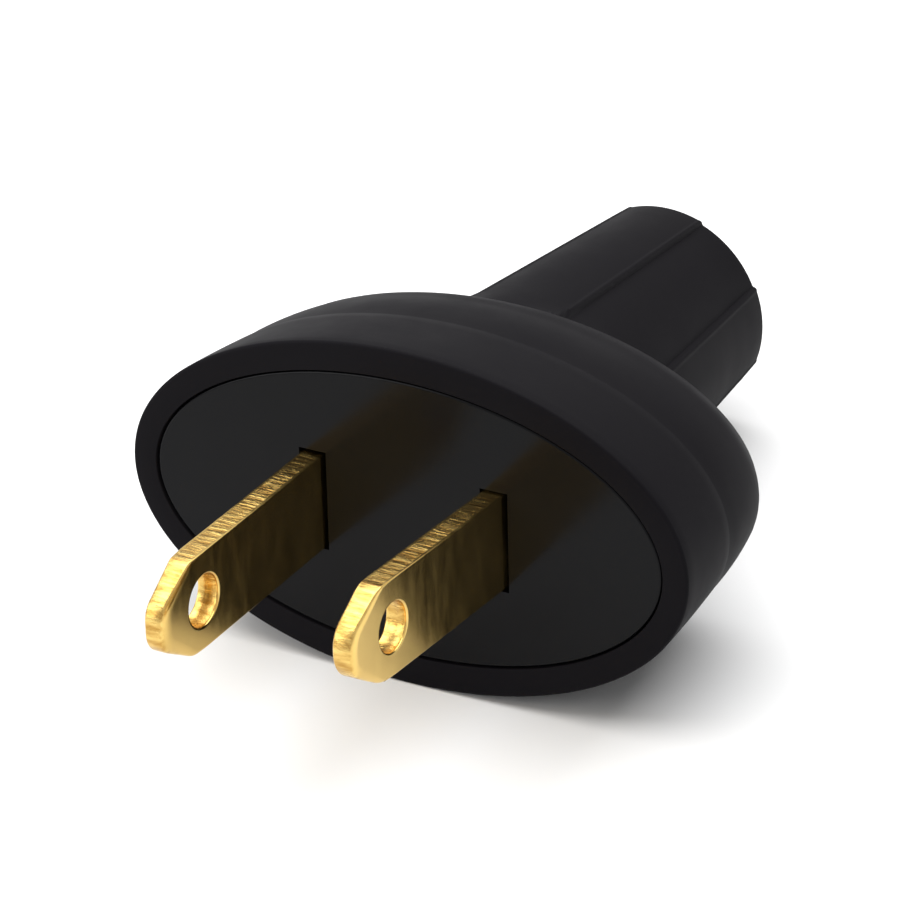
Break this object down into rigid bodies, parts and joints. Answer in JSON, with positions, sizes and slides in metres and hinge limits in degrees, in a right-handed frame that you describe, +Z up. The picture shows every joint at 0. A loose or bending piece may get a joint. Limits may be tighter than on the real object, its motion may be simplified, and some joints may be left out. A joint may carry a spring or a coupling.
{
  "type": "rubber electric plug",
  "caption": "Two-blade mains plug with an oval rubber flange, a tapered panelled grip, flat brass blades and a rear cord inlet.",
  "frame": {"origin": "middle of the footprint, on the surface that the plug lies on", "axes": "+Y towards the cord end, +X across the two blades, +Z up; the plug lies on its front rim and its cord end, so its own axis dips a little towards the cord end"},
  "size_m": [0.039, 0.0542, 0.0224],
  "materials": {
    "rubber_body": "moulded black rubber, satin",
    "blade_carrier": "moulded black thermoset plastic, semi-gloss",
    "blade": "stamped and tumbled brass",
    "terminal_screw": "turned brass"
  },
  "bodies": {
    "root": {"rubber_body": "rubber_body", "blade_carrier": "blade_carrier", "blade_left": "blade", "blade_right": "blade", "terminal_screw_left": "terminal_screw", "terminal_screw_right": "terminal_screw"}
  },
  "joints": []
}
